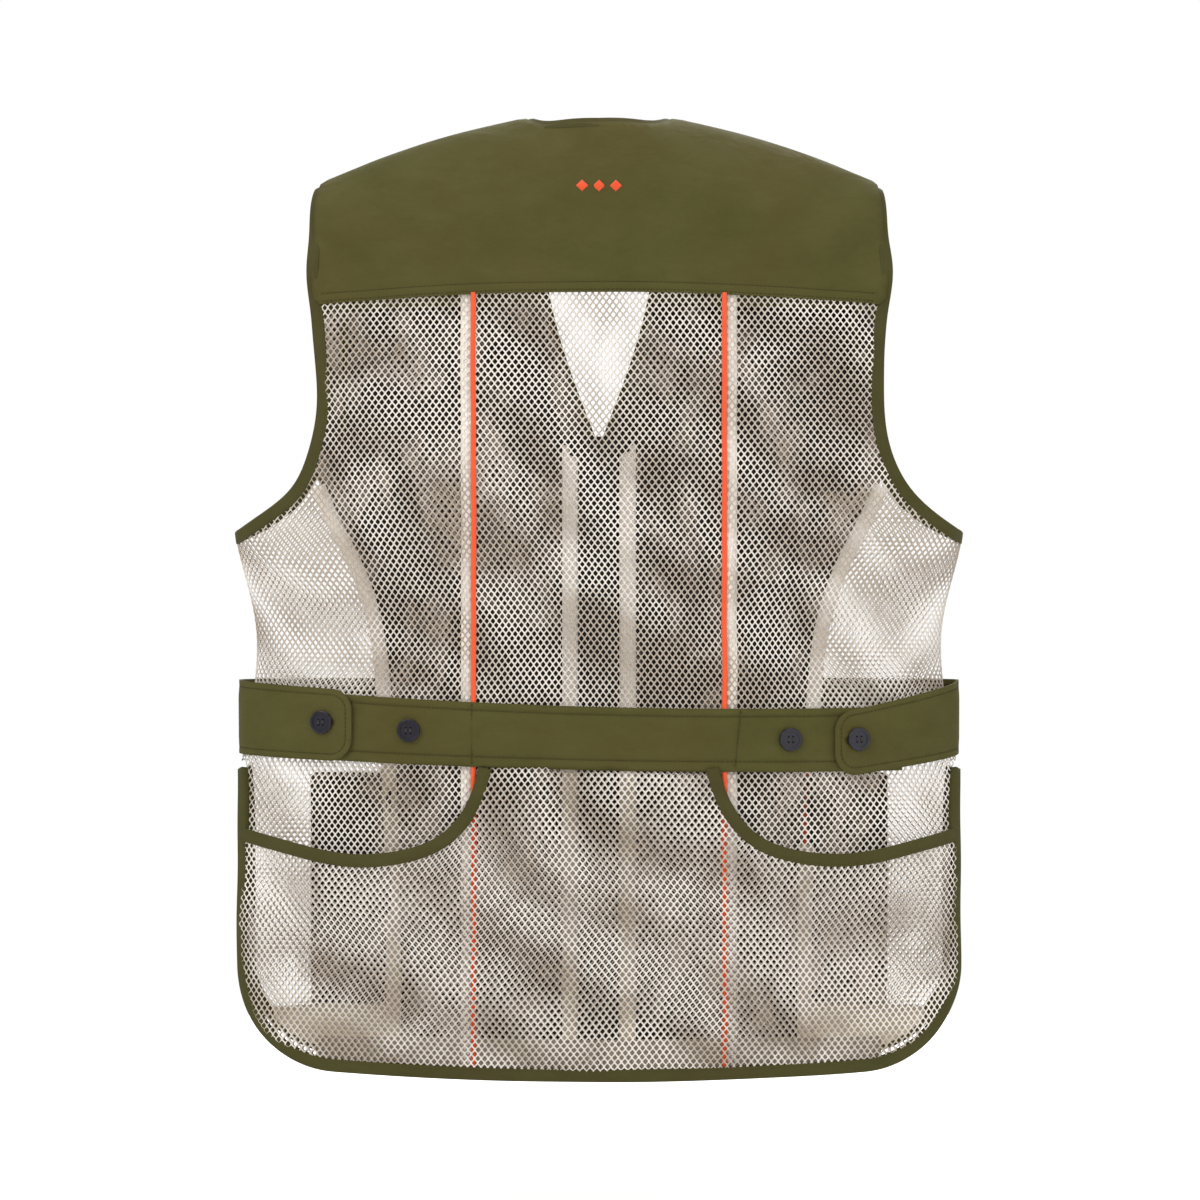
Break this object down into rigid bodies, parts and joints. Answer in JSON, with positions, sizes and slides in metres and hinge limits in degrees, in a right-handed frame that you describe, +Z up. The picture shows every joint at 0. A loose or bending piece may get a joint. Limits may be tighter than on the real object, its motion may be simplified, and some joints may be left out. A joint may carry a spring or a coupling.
{
  "type": "field vest",
  "caption": "Sleeveless mesh-backed field vest with olive yoke, belt and hems, mesh rear game pouch, orange piping, side strap tabs with buttons, front zip, shell pockets and shoulder patches.",
  "frame": {"origin": "middle of the neck opening, level with the lower edge of the back neck binding", "axes": "+X to the wearer's right, +Y the way the wearer faces, +Z up"},
  "size_m": [0.5788, 0.1765, 0.7535],
  "materials": {
    "olive_twill": "matt woven cotton twill",
    "tan_mesh": "matt knitted mesh",
    "orange_cord": "matt piping and stitching",
    "olive_binding": "matt folded tape",
    "black_button": "polished",
    "black_thread": "matt thread",
    "zip_cloth": "matt woven tape",
    "zip_plastic": "moulded",
    "dark_metal": "satin black",
    "tan_facing": "matt woven tape",
    "label_cloth": "plain woven label",
    "pad_foam": "soft foam"
  },
  "bodies": {
    "garment": {"back_yoke": "olive_twill", "left_front_yoke": "olive_twill", "right_front_yoke": "olive_twill", "back_center_mesh": "tan_mesh", "left_back_side_mesh": "tan_mesh", "right_back_side_mesh": "tan_mesh", "left_back_piping": "orange_cord", "right_back_piping": "orange_cord", "left_front_panel": "olive_twill", "right_front_panel": "olive_twill", "left_front_side_mesh": "tan_mesh", "right_front_side_mesh": "tan_mesh", "left_front_piping": "orange_cord", "right_front_piping": "orange_cord", "neck_binding": "olive_binding", "left_armhole_binding": "olive_binding", "right_armhole_binding": "olive_binding", "back_hem_binding": "olive_binding", "left_front_hem_binding": "olive_binding", "right_front_hem_binding": "olive_binding", "game_pouch": "tan_mesh", "left_pouch_mouth_binding": "olive_binding", "right_pouch_mouth_binding": "olive_binding", "waist_belt": "olive_twill", "left_strap_anchor": "olive_twill", "right_strap_anchor": "olive_twill", "left_tab_button": "black_button", "right_tab_button": "black_button", "left_spare_button": "black_button", "right_spare_button": "black_button", "button_threads": "black_thread", "left_zip_tape": "zip_cloth", "right_zip_tape": "zip_cloth", "left_zip_teeth": "zip_plastic", "right_zip_teeth": "zip_plastic", "zip_stops": "zip_plastic", "zip_box": "zip_plastic", "left_zip_facing": "tan_facing", "right_zip_facing": "tan_facing", "zip_guard": "olive_twill", "left_shell_pocket": "olive_twill", "right_shell_pocket": "olive_twill", "left_pocket_binding": "olive_binding", "right_pocket_binding": "olive_binding", "left_shoulder_patch": "olive_twill", "right_shoulder_patch": "olive_twill", "left_recoil_pad": "pad_foam", "right_recoil_pad": "pad_foam", "left_ring_loop": "olive_binding", "right_ring_loop": "olive_binding", "hang_loop": "olive_binding", "size_label": "label_cloth", "yoke_embroidery": "orange_cord"},
    "left_tab": {"left_waist_tab": "olive_twill"},
    "right_tab": {"right_waist_tab": "olive_twill"},
    "zip_slider": {"zip_slider": "dark_metal"},
    "zip_pull": {"zip_pull": "dark_metal"},
    "left_ring": {"left_d_ring": "dark_metal"},
    "right_ring": {"right_d_ring": "dark_metal"}
  },
  "joints": [
    {"name": "left_tab_swing", "type": "hinge", "parent": "garment", "child": "left_tab", "pos_m": [-0.2844, 0, -0.456], "axis": [0, 0, -1], "range_deg": [0, 95]},
    {"name": "right_tab_swing", "type": "hinge", "parent": "garment", "child": "right_tab", "pos_m": [0.2844, 0, -0.456], "axis": [0, 0, 1], "range_deg": [0, 95]},
    {"name": "zip_slide", "type": "slide", "parent": "garment", "child": "zip_slider", "axis": [0, 0, -1], "range_m": [0, 0.445]},
    {"name": "pull_swing", "type": "hinge", "parent": "zip_slider", "child": "zip_pull", "pos_m": [0, 0.0753, -0.2444], "axis": [1, 0, 0], "range_deg": [0, 160]},
    {"name": "left_ring_swing", "type": "hinge", "parent": "garment", "child": "left_ring", "pos_m": [-0.12859, 0.06748, -0.322], "axis": [0.9926, 0.1213, 0], "range_deg": [0, 150]},
    {"name": "right_ring_swing", "type": "hinge", "parent": "garment", "child": "right_ring", "pos_m": [0.12859, 0.06748, -0.322], "axis": [0.9926, -0.1213, 0], "range_deg": [0, 150]}
  ]
}
